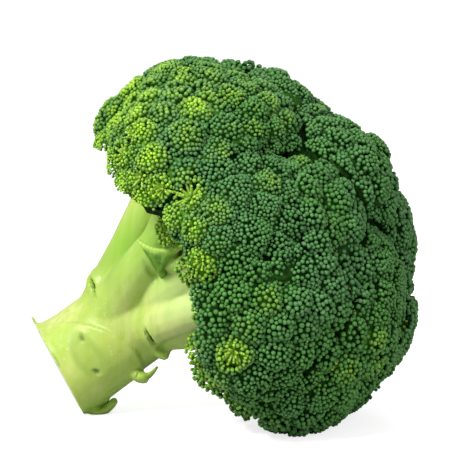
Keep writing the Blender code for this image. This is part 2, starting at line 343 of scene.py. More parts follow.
shape = bmesh.new()
shape.from_mesh(skin)
cut_here = {"plane_co": cut_centre + cut_normal * FOOT_LENGTH, "plane_no": cut_normal}
everything = shape.verts[:] + shape.edges[:] + shape.faces[:]
bmesh.ops.bisect_plane(shape, geom=everything, dist=1e-6, clear_outer=True, **cut_here)
holes = [e for e in shape.edges if e.is_boundary]
cap = max(bmesh.ops.holes_fill(shape, edges=holes)["faces"], key=lambda f: f.calc_area())
cut_outline = [v.co.copy() for v in cap.verts]
bmesh.ops.triangulate(shape, faces=shape.faces[:])
bmesh.ops.recalc_face_normals(shape, faces=shape.faces[:])
shape.to_mesh(skin)
shape.free()

# The marks on the skin: height above the cut, angle, half length round the stalk, half length
# along it, tilt, depth and darkness. A negative depth stands out of the skin. The darkness is the
# scars' own darker tone, and where it is strongest, in the deep slits and pits, it is painted
# shade.
MARKS = [
    (15.3, 3, 8.4, 5.0, 0.0, -0.35, 0.75),
    (15.3, 3, 7.0, 3.8, 0.0, 0.75, -0.50),
    (17.5, 23, 1.5, 0.9, 0.2, 0.6, 0.42),
    (14.2, -19, 1.3, 0.9, -0.3, 0.7, 0.55),
    (39.5, -23, 5.2, 3.0, 0.25, -0.9, 0.0),
    (39.5, -23, 3.9, 0.65, 0.25, 2.2, 1.3),
    (31.0, 74, 6.4, 3.0, 0.0, -1.0, 0.0),
    (31.0, 72, 5.6, 0.65, 0.1, 2.2, 1.3),
    (4.0, 18, 2.6, 0.7, 0.0, 0.7, 0.7),
    (55.5, 30, 2.0, 1.0, 0.3, 0.7, 0.45),
    (60.0, 34, 1.4, 1.2, 0.3, 0.8, 0.8),
    (26.0, 150, 6.0, 3.0, 0.0, 0.5, 0.45),
    (12.0, -110, 5.0, 2.4, 0.0, 0.5, 0.5),
]
spots = np.array([v.co[:] for v in skin.vertices])
normals = np.array([v.normal[:] for v in skin.vertices])
offset = spots - np.array(cut_centre)
heights = offset @ np.array(stalk_line) / MM
angles = np.degrees(np.arctan2(offset @ np.array(upper_side), offset @ np.array(near_side)))
darkness = np.zeros(len(spots))
push = np.zeros(len(spots))
for height, angle, half_round, half_along, tilt, depth, dark in MARKS:
    around = (angles - angle + 180) % 360 - 180
    side = np.radians(around) * 17.5
    reach = np.hypot(side / half_round, (heights - height - side * tilt) / half_along)
    push -= depth * np.clip(1.4 - reach, 0, 0.7) / 0.7
    darkness += dark * np.clip((1.25 - reach) / 0.5, 0, 1)
# The raised shield at the foot is what the lowest leaf grew from, and has an arched upper edge.
shield_edge = 31.5 - 0.0026 * (angles + 25) ** 2
inside_shield = np.clip((shield_edge - heights) / 1.5, 0, 1)
inside_shield *= np.clip((75 - np.abs(angles + 12)) / 8, 0, 1)
push += 1.1 * inside_shield * np.clip(heights / 10, 0, 1)
# The tips of the hooks have dried a little darker.
along_line = heights[:, None] * np.array(stalk_line) * MM
out_of_line = np.linalg.norm(offset - along_line, axis=1) / MM
darkness += 0.5 * np.clip((out_of_line - 22.5) / 3, 0, 1) * np.clip((46 - heights) / 8, 0, 1)
spots += normals * (push * MM)[:, None]
spots[:, 2] = np.maximum(spots[:, 2], 0.0)
skin.vertices.foreach_set("co", spots.ravel())


def patch(middle, reach):
    """How far each spot of the skin belongs to the patch round a place, in millimetres."""
    far = np.linalg.norm(spots - np.array(middle) * MM, axis=1) / (reach * MM)
    return np.exp(-(far**2))


# Painted shade: the flesh is painted darker and greener underneath and in two patches under the
# head, where the head shades it; only partly is this the greener skin of a side that grew in shade.
# Painted
# light: the near branches, which lie in the head's shadow, are painted paler.
greener = np.clip(-np.sin(np.radians(angles + 8)), 0, 1) ** 1.5
greener *= 0.9 * np.clip((66 - heights) / 20, 0, 1)
greener = np.maximum(greener, 1.1 * patch((-28, -25, 69), 17))
greener = np.maximum(greener, 1.1 * patch((-38, -8, 66), 17))
for key, values in (
    ("darkness", darkness),
    ("height", heights),
    ("shield", inside_shield),
    ("greener", greener),
    ("paler", patch((-10, -28, 50), 19)),
):
    skin.attributes.new(key, "FLOAT", "POINT").data.foreach_set("value", values)

stem = Paint("stem_flesh", Roughness=0.36, Specular_IOR_Level=0.4)
stem.shader.inputs["Subsurface Weight"].default_value = 0.10
stem.shader.inputs["Subsurface Scale"].default_value = 0.003
stem.shader.inputs["Subsurface Radius"].default_value = (0.6, 1.0, 0.3)
where = stem.place()
turn = axis.to_track_quat("Z", "Y").to_matrix().transposed().to_euler()
turned = {"Vector": where, "Rotation": turn, "Scale": (1.0, 1.0, 0.10)}
streaked = stem.node("ShaderNodeMapping", {}, turned)["Vector"]
streaks = stem.noise(streaked, 240.0, 4.0, 0.55)
blotches = stem.noise(where, 34.0, 3.0, 0.5)
grain = stem.noise(streaked, 900.0, 2.0, 0.5)
specks = stem.noise(where, 700.0, 2.0, 0.5)
pale = stem.mix(stem.span(streaks, 0.32, 0.7), (0.375, 0.465, 0.082), (0.56, 0.61, 0.19))
flesh = stem.mix(stem.span(blotches, 0.42, 0.72), pale, (0.31, 0.49, 0.05))
flesh = stem.mix(stem.attribute("shield") * 0.22, flesh, (0.43, 0.56, 0.06))
low = stem.span(stem.attribute("height") + blotches * 30.0, 6.0, 26.0, 0.35, 0.0)
flesh = stem.mix(low, flesh, (0.45, 0.50, 0.14))
flesh = stem.mix(stem.span(specks, 0.62, 0.74, 0.0, 0.35), flesh, (0.62, 0.76, 0.34))
# Painted shade: darker green underneath and under the head.
flesh = stem.mix(stem.attribute("greener") * 0.75, flesh, (0.20, 0.42, 0.022))
# Painted light: the near branches are painted paler.
flesh = stem.mix(stem.attribute("paler") * 0.5, flesh, (0.64, 0.76, 0.34))
dark = stem.attribute("darkness")
flesh = stem.mix(stem.span(dark, 0.0, 0.6, 0.0, 0.7), flesh, (0.25, 0.38, 0.06))
# Painted shade: the darkest marks, the deep slits and pits, are painted nearly black.
flesh = stem.mix(stem.span(dark, 0.55, 1.1), flesh, (0.035, 0.085, 0.010))
stem_material = stem.finish(
    Base_Color=flesh,
    Roughness=stem.span(blotches, 0.3, 0.7, 0.30, 0.46),
    Normal=stem.bump(streaks + grain * 0.3 + specks * 0.15, 0.4, 0.0005),
)
stem_piece = new_piece("stalk_and_branches", skin, stem_material)
skin.set_sharp_from_angle(angle=math.radians(50))
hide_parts("main_stalk", *BRANCHES, *STUBS)

# ---------------------------------------------------------------------------------------------
# The knife cut at the stalk's foot. A flat, moist face of paler flesh that is one with the stalk,
# with a soft pith in the middle, a ring of fibres round it and a thin green rind.

RINGS = 14
middle = sum(cut_outline, Vector()) / len(cut_outline)
shape = bmesh.new()
rings = []
for i in range(RINGS):
    share = 0.985 * (1 - i / RINGS) ** 0.85
    dip = (0.12 + 0.35 * (1 - share) ** 2 + 0.04 * math.sin(share * 17)) * MM
    points = [middle.lerp(point, share) - cut_normal * dip for point in cut_outline[::2]]
    rings.append([shape.verts.new(point + cut_normal * 0.3 * MM) for point in points])
for outer, inner in zip(rings, rings[1:]):
    for k in range(len(outer)):
        n = (k + 1) % len(outer)
        shape.faces.new((outer[k], outer[n], inner[n], inner[k]))
shape.faces.new(rings[-1])
extruded = bmesh.ops.extrude_face_region(shape, geom=shape.faces[:])["geom"]
sunk = [v for v in extruded if isinstance(v, bmesh.types.BMVert)]
bmesh.ops.translate(shape, verts=sunk, vec=-cut_normal * 1.0 * MM)
bmesh.ops.triangulate(shape, faces=shape.faces[:])
bmesh.ops.recalc_face_normals(shape, faces=shape.faces[:])
cut_mesh = bpy.data.meshes.new("cut_face")
shape.to_mesh(cut_mesh)
shape.free()
reach = [(v.co - middle).length / cut_radius for v in cut_mesh.vertices]
for v in cut_mesh.vertices:
    v.co.z = max(v.co.z, 0.0)
cut_mesh.attributes.new("reach", "FLOAT", "POINT").data.foreach_set("value", reach)

cut = Paint("cut_flesh", Roughness=0.3, Specular_IOR_Level=0.5)
where = cut.place()
fine = cut.noise(where, 900.0, 3.0, 0.6)
soft = cut.noise(where, 240.0, 3.0, 0.5)
reach = cut.attribute("reach") + (soft - 0.5) * 0.12
ring = cut.span(reach, 0.62, 0.74) * cut.span(reach, 0.78, 0.9, 1.0, 0.0)
flesh = cut.mix(cut.span(soft, 0.3, 0.7), (0.62, 0.72, 0.33), (0.70, 0.78, 0.42))
flesh = cut.mix(cut.span(reach, 0.1, 0.5, 0.4, 0.0), flesh, (0.78, 0.80, 0.52))
flesh = cut.mix(ring * cut.span(fine, 0.4, 0.62), flesh, (0.36, 0.50, 0.10))
flesh = cut.mix(cut.span(reach, 0.9, 0.99, 0.0, 0.8), flesh, (0.34, 0.52, 0.07))
cut_material = cut.finish(
    Base_Color=flesh,
    Roughness=cut.span(fine, 0.3, 0.7, 0.24, 0.42),
    Normal=cut.bump(fine + soft, 0.35, 0.0004),
)
new_piece("cut_face", cut_mesh, cut_material)
cut_mesh.set_sharp_from_angle(angle=math.radians(40))

# ---------------------------------------------------------------------------------------------
# The florets. Each is a dome of small clusters, and each cluster a cushion of closed flower buds
# on short stemlets. The outer buds of a cluster are the oldest, large and dark with a pale waxy
# bloom, and the ones at its middle are small and yellow-green. Each bud is also painted paler at
# its tip and
# nearly black at its base: partly a painted highlight and painted shade between the buds.

CLUSTER_SPACING = 10.0 * MM
CLUSTER_RISE = 3.5 * MM
VALLEY_DEPTH = 3.3 * MM
BUD_RADIUS = 0.88 * MM
CEILING_DEPTH = 5.0 * MM  # the dim dome in a floret lies at least this far under its surface
# Where the head is young, yellow-green and loose: a place in millimetres, how far it reaches
# and how young it is.
YOUNG = [
    (-44, -40, 102, 32, 1.25),
    (-24, -50, 110, 22, 0.65),
    (-12, -70, 88, 14, 0.6),
    (-9, -72, 68, 8, 0.75),
    (2, -75, 41, 9, 0.85),
    (-3, -66, 30, 9, 0.6),
    (-40, 0, 125, 26, 0.8),
    (0, -25, 134, 36, 0.42),
]


# Where the head swells out or sinks in: how far along the table and how high, in millimetres,
# how far the swelling reaches and how much it adds.
SWELLS = [
    (8, 139, 12, -2.6),
    (39, 123, 12, -3.0),
    (61, 103, 14, 4.5),
    (-50, 113, 13, -2.0),
    (-40, 129, 10, -3.0),
    (-22, 138, 10, 1.5),
    (60, 12, 16, -2.5),
    (5, 15, 16, 4.0),
    (-6, 10, 11, -5.0),
]


def swell_at(place):
    """How far the head stands out of its plain shape at a place."""
    x, z = place.x / MM, place.z / MM
    swells = (
        amount * math.exp(-((x - cx) ** 2 + (z - cz) ** 2) / reach**2)
        for cx, cz, reach, amount in SWELLS
    )
    return sum(swells) * MM


def youth_at(place):
    """How young the head is at a place, from 0 to 1."""
    shares = [0.04]
    for x, y, z, reach, amount in YOUNG:
        far = (Vector(place) / MM - Vector((x, y, z))).length
        shares.append(amount * math.exp(-((far / reach) ** 2)))
    return min(1.0, max(shares) + 0.3 * sum(sorted(shares)[:-1]))


florets = [name for name in sorted(nodes) if name.startswith("outer_floret")]
florets += [name for name in sorted(nodes) if name.startswith("inner_floret")]
florets.append("top_floret")
trees = {}
for name in florets:
    shape = node_copy(name)
    trees[name] = BVHTree.FromBMesh(shape)
    shape.free()


def foot_of(name):
    """Where a floret's stem meets it: the part of it that is nearest to the fork."""
    spots = node_points(name)
    far = np.linalg.norm(spots - np.array(stalk_top - axis * 25 * MM), axis=1)
    return Vector(spots[np.argsort(far)[:14]].mean(axis=0))


# Where the near rim is drawn back from the branches: how far along the table, and the lowest
# buds there, in millimetres.
RIM_X = [-60, -46, -22, -12, -9]
RIM_Z = [113, 97, 85, 69, 40]
SAMPLES = 25000  # random spots that are tried for a bud on each floret
CROWN_SAMPLES = 2500  # the ones of them that stand for the head's outer surface
NEIGHBOUR_REACH = 0.075
ROOT_ZONE = 16 * MM  # no buds this near to a floret's foot


def exposed_spots(name, count, chance):
    """Random spots on a floret's dome that no neighbour covers: places and normals."""
    middle = Vector(node_points(name).mean(axis=0))
    foot = foot_of(name)
    others = [
        trees[other]
        for other in florets
        if other != name and (centre(other) - middle).length < NEIGHBOUR_REACH
    ]
    spots = []
    for _ in range(count):
        z = chance.uniform(-1, 1)
        angle = chance.uniform(0, 2 * math.pi)
        ring = math.sqrt(1 - z * z)
        way = Vector((ring * math.cos(angle), ring * math.sin(angle), z))
        spot, normal, _, _ = trees[name].ray_cast(middle, way)
        if spot is None:
            continue
        away = (spot - foot).normalized()
        if normal.dot(away) < 0.20 or (spot - foot).length < ROOT_ZONE:
            continue
        low_rim = np.interp(spot.x / MM, RIM_X, RIM_Z) * MM
        if spot.y < -14 * MM and spot.x < -9 * MM and spot.z < low_rim:
            continue
        clear = spot + normal * 0.1 * MM
        if any(tree.ray_cast(clear, normal, 1.1 * MM)[0] is not None for tree in others):
            continue
        spots.append((spot, normal))
    return spots


# Where clusters stand open, so that the pale stemlets show between their buds: how far along the
# table and how high on the near side, and how wide, in millimetres.
OPEN = [
    (-13, 95, 5.6),
    (3.5, 37, 5.2),
    (-23, 96, 4.6),
    (-38, 108, 4.8),
    (-41, 117, 4.2),
    (-31, 100, 4.4),
    (-34, 116, 4.0),
    (-8, 70, 4.0),
]


def near_surface(x, z):
    """The floret that shows on the head's near side at a place, the spot there and its normal."""
    start = Vector((x * MM, -200 * MM, z * MM))
    hits = [(tree.ray_cast(start, Vector((0, 1, 0))), name) for name, tree in trees.items()]
    found = [(hit[3], name, hit[0], hit[1]) for hit, name in hits if hit[0] is not None]
    return min(found, key=lambda hit: hit[0])[1:] if found else None


open_clusters = [(near_surface(x, z), wide * MM) for x, z, wide in OPEN]
open_clusters = [(*found, wide) for found, wide in open_clusters if found]


def spread(spots, spacing):
    """The spots that are left when none may be nearer to another than spacing."""
    kept = []
    for spot, normal in spots:
        if all((spot - other).length > spacing for other, _ in kept):
            kept.append((spot, normal))
    return kept


def bud_shape():
    """One closed bud: an egg with four faint sides and a small dimple at its tip."""
    shape = bmesh.new()
    bmesh.ops.create_uvsphere(shape, u_segments=8, v_segments=5, radius=1.0)
    for v in shape.verts:
        height = v.co.z
        sides = 1.0 - 0.07 * (1 if round(math.degrees(math.atan2(v.co.y, v.co.x)) / 45) % 2 else 0)
        v.co.x *= sides * (0.82 + 0.18 * min(1.0, 1.0 + height))
        v.co.y *= sides * (0.82 + 0.18 * min(1.0, 1.0 + height))
        v.co.z = height * 1.16 - (0.2 if height > 0.99 else 0.0)
    bmesh.ops.triangulate(shape, faces=shape.faces[:])
    bmesh.ops.recalc_face_normals(shape, faces=shape.faces[:])
    points = np.array([v.co[:] for v in shape.verts])
    faces = np.array([[v.index for v in f.verts] for f in shape.faces])
    shape.free()
    return points, faces


BUD_POINTS, BUD_FACES = bud_shape()


def bud_map():
    """Each corner's place on a round map of the bud, with the tip in the middle."""
    polar = np.arccos(np.clip(BUD_POINTS[:, 2] / 1.16, -1, 1)) / math.pi
    around = np.arctan2(BUD_POINTS[:, 1], BUD_POINTS[:, 0])
    corners = []
    for face in BUD_FACES:
        rims = [k for k in face if np.hypot(*BUD_POINTS[k, :2]) > 0.05]
        mean = np.arctan2(np.sin(around[rims]).mean(), np.cos(around[rims]).mean())
        for k in face:
            angle = around[k] if k in rims else mean
            reach = 0.0 if BUD_POINTS[k, 2] > 0.9 and k not in rims else polar[k]
            out = 0.46 * reach
            corners.append((0.5 + out * math.cos(angle), 0.5 + out * math.sin(angle)))
    return np.array(corners)


BUD_MAP = bud_map()


# Where buds may sit on each floret, and the head's outer surface that these spots make together.
chances = {name: random.Random(100 + index) for index, name in enumerate(florets)}
exposed = {name: exposed_spots(name, SAMPLES, chances[name]) for name in florets}
crown_spots = [found for name in florets for found in exposed[name][:CROWN_SAMPLES]]
crown = KDTree(len(crown_spots))
for index, (spot, _) in enumerate(crown_spots):
    crown.insert(spot, index)
crown.balance()


def grow_buds(name, chance):
    """The buds of one floret, and its clusters: places, normals, radii and youth."""
    spots = exposed[name]
    opened = [(spot, normal, wide) for other, spot, normal, wide in open_clusters if other == name]
    clusters = spread([o[:2] for o in opened] + spots, CLUSTER_SPACING)
    heads = np.array([spot[:] for spot, _ in clusters])
    tops = np.array([normal[:] for _, normal in clusters])
    youths = []
    for spot, _ in clusters:
        youth = youth_at(spot)
        lone = chance.random() <= 0.05
        youths.append(0.38 if lone else min(1.0, youth * chance.uniform(0.55, 1.5)))
    youths[: len(opened)] = [0.9] * len(opened)
    cell = 2.1 * MM
    grid = {}
    buds = []
    members = [[] for _ in clusters]
    for rank, (spot, normal) in enumerate(spots):
        if any((spot - middle).length < 0.82 * wide for middle, _, wide in opened):
            continue
        late = rank / len(spots)
        far = np.linalg.norm(heads - np.array(spot), axis=1)
        order = np.argsort(far)[:2]
        near = far[order[0]]
        edge = (far[order[1]] - near) / 2 if len(order) > 1 else 6 * MM
        lumps = noise.noise(spot * 62.0)
        # A cluster is high in its middle and falls off into the valley round it.
        rise = min(1.0, edge / (3.2 * MM))
        rise = CLUSTER_RISE * (1 - (1 - rise) ** 2) - VALLEY_DEPTH + 3.6 * MM * min(0.12, lumps)
        rise += swell_at(spot)
        place = np.array(spot) + np.array(normal) * rise
        lean = Vector(place - heads[order[0]] + tops[order[0]] * 7 * MM).normalized()
        youth = youths[order[0]]
        ripe = 1.0 - youth * chance.uniform(0.55, 1.05) * (1.25 - near / (8 * MM))
        ripe = min(1.0, max(0.0, ripe))
        size = 1.0 + 0.35 * noise.noise(spot * 30.0 + Vector((7, 1, 3)))
        radius = BUD_RADIUS * size * (0.74 + 0.26 * ripe) * chance.uniform(0.90, 1.12)
        radius *= 1.08 - 0.26 * late
        # A bud that would press too far into an earlier one is left out.
        packing = 0.745 + 0.03 * youth
        key = tuple((place // cell).astype(int))
        close = [
            other
            for dx in (-1, 0, 1)
            for dy in (-1, 0, 1)
            for dz in (-1, 0, 1)
            for other in grid.get((key[0] + dx, key[1] + dy, key[2] + dz), ())
        ]
        if any(np.dot(o - place, o - place) < (packing * (r + radius)) ** 2 for o, r in close):
            continue
        grid.setdefault(key, []).append((place, radius))
        members[order[0]].append(place)
        wobble = Vector([chance.gauss(0, 0.13) for _ in range(3)])
        way = (Vector(normal) * 0.4 + lean * 0.6 + wobble).normalized()
        buds.append((place, way, radius, ripe))
    found = []
    for (spot, normal), places, youth in zip(clusters, members, youths):
        if len(places) > 5:
            places = np.array(places)
            middle = places.mean(axis=0)
            wide = 1.38 * math.sqrt(((places - middle) ** 2).sum(axis=1).mean()) + 0.3 * MM
            found.append((Vector(middle), normal, min(6.6 * MM, wide), youth))
    return buds, found, spots


bud = Paint("flower_buds", Roughness=0.5, Specular_IOR_Level=0.26)
tip = bud.attribute("tip")
ripeness = bud.attribute("ripeness")
shade = bud.attribute("shade")
patches = bud.noise(bud.place(), 26.0, 2.0, 0.5)
# Painted highlight and shade: each bud is painted paler towards its tip and nearly black towards
# its base, partly the real waxy bloom and young colour, partly a painted highlight on the tips and
# painted shade between the buds.
bloom_and_highlight = bud.mix(bud.span(patches, 0.38, 0.62), (0.112, 0.285, 0.092), (0.100, 0.29, 0.052))
mature = bud.mix(bud.span(tip, 0.40, 1.0), (0.002, 0.044, 0.002), bloom_and_highlight)
fresh = bud.mix(bud.span(tip, 0.2, 1.0), (0.085, 0.32, 0.003), (0.46, 0.74, 0.04))
tone = bud.mix(bud.span(ripeness, 0.15, 0.85), fresh, mature)
tone = bud.mix(shade, tone, (0.010, 0.075, 0.006))
bud_material = bud.finish(Base_Color=tone, Roughness=bud.span(ripeness, 0.2, 0.9, 0.42, 0.55))

cushion = Paint("cluster_cushions", Roughness=0.8, Specular_IOR_Level=0.12)
where = cushion.place()
mottle = cushion.noise(where, 600.0, 3.0, 0.6)
upwards = cushion.attribute("tip") + (mottle - 0.5) * 0.25
# Painted shade: the cushions and the dome under them are nearly black, for the shade deep among the
# clusters; young clusters take yellow-green, and each funnel's foot the pale green of the stemlets.
deep = cushion.mix(cushion.span(mottle, 0.35, 0.65), (0.001, 0.018, 0.001), (0.006, 0.05, 0.003))
light = cushion.mix(cushion.span(mottle, 0.35, 0.65), (0.05, 0.21, 0.004), (0.15, 0.38, 0.012))
tone = cushion.mix(cushion.attribute("fresh"), deep, light)
tone = cushion.mix(cushion.span(upwards, 0.05, 0.55), (0.26, 0.44, 0.05), tone)
cushion_material = cushion.finish(Base_Color=tone, Normal=cushion.bump(mottle, 0.7, 0.001))

stemlet = Paint("stemlets", Roughness=0.42, Specular_IOR_Level=0.35)
where = stemlet.place()
mottle = stemlet.noise(where, 260.0, 3.0, 0.5)
tone = stemlet.mix(stemlet.span(mottle, 0.35, 0.65), (0.20, 0.38, 0.03), (0.36, 0.56, 0.08))
stemlet_material = stemlet.finish(Base_Color=tone, Normal=stemlet.bump(mottle, 0.3, 0.0004))


def bud_mesh(buds, chance):
    """One mesh of all the buds of a floret, with a bake map of one cell for each bud."""
    side = math.ceil(math.sqrt(len(buds)))
    points, tips, ripes, shades, uvs = [], [], [], [], []
    for i, (place, way, radius, ripe) in enumerate(buds):
        spin = Matrix.Rotation(chance.uniform(0, 6.28), 3, "Z").to_quaternion()
        turn = (way.to_track_quat("Z", "Y") @ spin).to_matrix()
        points.append(BUD_POINTS @ np.array(turn).T * radius + place)
        tips.append((BUD_POINTS[:, 2] + 1.16) / 2.32)
        ripes.append(np.full(len(BUD_POINTS), ripe))
        shades.append(np.full(len(BUD_POINTS), chance.uniform(0.0, 0.45)))
        uvs.append((BUD_MAP + np.array((i % side, i // side))) / side)
    points = np.concatenate(points)
    points[:, 2] = np.maximum(points[:, 2], 0.0)
    count = len(BUD_POINTS)
    faces = (BUD_FACES[None] + (np.arange(len(buds)) * count)[:, None, None]).reshape(-1, 3)
    mesh = bpy.data.meshes.new("buds")
    mesh.from_pydata(points.tolist(), [], faces.tolist())
    for key, values in (("tip", tips), ("ripeness", ripes), ("shade", shades)):
        layer = mesh.attributes.new(key, "FLOAT", "POINT")
        layer.data.foreach_set("value", np.concatenate(values))
    mesh.uv_layers.new(name="OFBake").data.foreach_set("uv", np.concatenate(uvs).ravel())
    return mesh


def inside(tree, point, depth):
    """The point, moved into the body so that it lies at least depth under its surface."""
    spot, normal, _, _ = tree.find_nearest(point)
    short = (point - spot).dot(normal) + depth
    return point - normal * max(0.0, short)


def shade_dome_of(name, spots):
    """A closed dome well under a floret's clusters, painted nearly black as shade: it stands for
    the dim mass of stemlets and buds deep in the floret, and reaches down beside the neighbours, so
    that no daylight shows between the florets."""
    face = sum((normal for _, normal in spots), Vector()).normalized()
    level = sorted(spot.dot(face) for spot, _ in spots)[len(spots) // 3]
    middle = Vector(node_points(name).mean(axis=0))
    shape = node_copy(name)
    everything = shape.verts[:] + shape.edges[:] + shape.faces[:]
    level_plane = {"plane_co": face * level, "plane_no": face}
    bmesh.ops.bisect_plane(shape, geom=everything, dist=1e-6, **level_plane)
    bmesh.ops.triangulate(shape, faces=shape.faces[:])
    # What lies below the level is drawn up to it, but 9 mm of it stay beside a neighbour.
    beside = [trees[other] for other in florets if other != name]
    for v in shape.verts:
        apart = all(tree.find_nearest(v.co, 4.0 * MM)[0] is None for tree in beside)
        v.co += face * max(0.0, level - v.co.dot(face) - (0.0 if apart else 9.0 * MM))
    # The dome is a little wider and flatter than the floret, and sunk under its clusters.
    widen = Matrix.Scale(1.15, 4) @ Matrix.Scale(0.86, 4, face)
    sink = Matrix.Translation(middle - face * 5.5 * MM) @ widen @ Matrix.Translation(-middle)
    bmesh.ops.transform(shape, matrix=sink, verts=shape.verts[:])
    for v in shape.verts:
        dent = min(0.0, swell_at(v.co))
        v.co += face * dent
        if all(tree.find_nearest(v.co, 3.5 * MM)[0] is None for tree in beside):
            v.co = inside(trees[name], v.co, 3.6 * MM - dent)
        for _ in range(2):
            spot, normal = crown_spots[crown.find(v.co)[1]]
            short = (v.co - spot).dot(normal) + CEILING_DEPTH - dent
            v.co -= normal * max(0.0, short)
    return shape


def stemlets_of(name, clusters, spots):
    """A floret's limbs, its cushions, one funnel under each cluster, and its stemlets."""
    foot = foot_of(name)
    tree = trees[name]
    # The limbs run from the floret's foot to a few forks, and each cluster hangs on the nearest.
    forks = [foot.lerp(spot, 0.40) for spot, *_ in spread([c[:2] for c in clusters], 17 * MM)]
    limbs, tubes = [], []
    for fork in forks:
        line = [foot.lerp(fork, t) for t in (-0.7, -0.2, 0.3, 0.75, 1.15)]
        limbs.append(taper(line, [5.6 * MM, 5.0 * MM, 3.9 * MM, 3.1 * MM, 1.6 * MM], 10))
    funnels = [shade_dome_of(name, spots)]
    # The dome takes the darkest tone of the cushions: painted shade.
    tones = [(0.9, 0.0) for _ in funnels[0].verts]
    for spot, normal, wide, youth in clusters:
        fork = min(forks, key=lambda other: (other - spot).length)
        away = ((spot - fork).normalized() + normal * 0.8).normalized()
        knot = inside(tree, spot - away * 11 * MM, 4 * MM)
        line = curve(fork.lerp(knot, -0.1), fork.lerp(knot, 0.6), knot, 3)
        tubes.append(taper(line, [2.0 * MM, 1.9 * MM, 1.7 * MM, 1.4 * MM], 7))
        size = wide * (1.0 - 0.12 * youth)
        shares = (0.0, 0.25, 0.5, 0.74, 0.9, 1.0)
        line = [knot.lerp(spot, t) - normal * 0.9 * MM for t in shares]
        widths = [max(1.2 * MM, size * r) for r in (0.2, 0.36, 0.66, 0.97, 0.99, 0.5)]
        funnel = taper(line, widths, 12)
        for v in funnel.verts:
            v.co = inside(tree, v.co, 1.9 * MM - swell_at(spot))
        funnels.append(funnel)
        tones += [(t, youth) for t in shares for _ in range(12)]
        side = normal.orthogonal().normalized()
        for k in range(7):
            turn = Matrix.Rotation((k + 0.3 * (k % 2)) * math.tau / 7, 3, normal)
            rim = turn @ side * size * (0.84 if k % 2 else 0.66)
            end = inside(tree, spot + rim, 2.7 * MM - swell_at(spot))
            bend = knot.lerp(end, 0.55) + rim * 0.12
            line = curve(knot, bend, end, 3)
            tubes.append(taper(line, [0.95 * MM, 0.85 * MM, 0.7 * MM, 0.5 * MM], 5))
    cushions = gather(funnels)
    for key, values in zip(("tip", "fresh"), zip(*tones)):
        layer = cushions.attributes.new(key, "FLOAT", "POINT")
        layer.data.foreach_set("value", values)
    return limbs, cushions, gather(tubes)


all_limbs = []
for name in florets:
    chance = chances[name]
    buds, clusters, spots = grow_buds(name, chance)
    piece = new_piece(f"{name}_buds", bud_mesh(buds, chance), bud_material)
    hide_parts(name)
    limbs, cushions, stemlets = stemlets_of(name, clusters, spots)
    all_limbs += limbs
    new_piece(f"{name}_cushions", cushions, cushion_material)
    new_piece(f"{name}_stemlets", stemlets, stemlet_material)
limb_mesh = fused(gather(all_limbs), 0.8 * MM, 6, "floret_limbs")
new_piece("floret_limbs", limb_mesh, stem_material)

# ---------------------------------------------------------------------------------------------
# The sprays: small side shoots that leave the branches under the head's near edge. Each is one
# pale stem that fans into stemlets, with a loose cap of young buds on their ends. The clusters
# that stand open have such stemlets and buds too.

# Where each leaves its branch and where its cap sits, in millimetres, the cap's radius and youth.
SPRAYS = [
    ((-16, -25, 78), (-19, -45, 89), 6.0, 0.9),
    ((-12, -26, 76), (-13, -49, 79), 6.0, 0.55),
    ((-22, -20, 80), (-28, -38, 94), 5.5, 0.9),
    ((-10, -26, 70), (-10, -52, 63), 6.5, 0.5),
    ((0, -27, 50), (-6, -52, 48), 6.0, 0.6),
    ((8, -28, 40), (-3, -50, 33), 6.5, 0.9),
    ((12, -22, 36), (0, -40, 24), 6.0, 0.7),
    ((-14, -25, 72), (-20, -43, 79), 6.0, 0.6),
    ((4, -18, 36), (-8, -50, 34), 7.0, 0.6),
    ((6, -14, 34), (-3, -47, 26), 7.5, 0.5),
    ((10, -12, 32), (1, -43, 19), 7.0, 0.35),
    ((14, -10, 30), (8, -42, 12), 6.5, 0.25),
    ((14, -8, 30), (8, -30, 8), 7.0, 0.2),
    ((4, -8, 32), (-6, -30, 20), 7.0, 0.4),
    ((12, 0, 32), (4, -14, 10), 7.0, 0.2),
]
chance = random.Random(7)
all_buds, tubes = [], []
for base, top, wide, youth in SPRAYS:
    base, top = Vector(base) * MM, Vector(top) * MM
    normal = (top - base).normalized()
    fork = base.lerp(top, 0.55)
    line = curve(base.lerp(fork, -0.3), base.lerp(fork, 0.6), fork, 4)
    tubes.append(taper(line, [2.2 * MM, 2.1 * MM, 1.9 * MM, 1.8 * MM, 1.6 * MM], 9))
    facing = normal.to_track_quat("Z", "Y")
    count = int(1.9 * wide**2)
    for k in range(count):
        height = 1.0 - 1.25 * (k + 0.5) / count
        turn = k * 2.39996 + chance.uniform(-0.15, 0.15)
        ring = math.sqrt(max(0.0, 1.0 - height * height))
        way = facing @ Vector((ring * math.cos(turn), ring * math.sin(turn), height))
        centre_of = top - normal * wide * 0.75 * MM
        place = centre_of + way * wide * chance.uniform(0.88, 1.1) * MM
        ripe = max(0.0, min(1.0, 1.0 - youth * chance.uniform(0.6, 1.3)))
        all_buds.append((np.array(place), way, BUD_RADIUS * (0.74 + 0.26 * ripe), ripe))
        if k % 3 == 0:
            end = place - way * 0.5 * MM
            line = curve(fork, fork.lerp(end, 0.6) - normal * 0.5 * MM, end, 3)
            tubes.append(taper(line, [0.95 * MM, 0.8 * MM, 0.65 * MM, 0.5 * MM], 6))
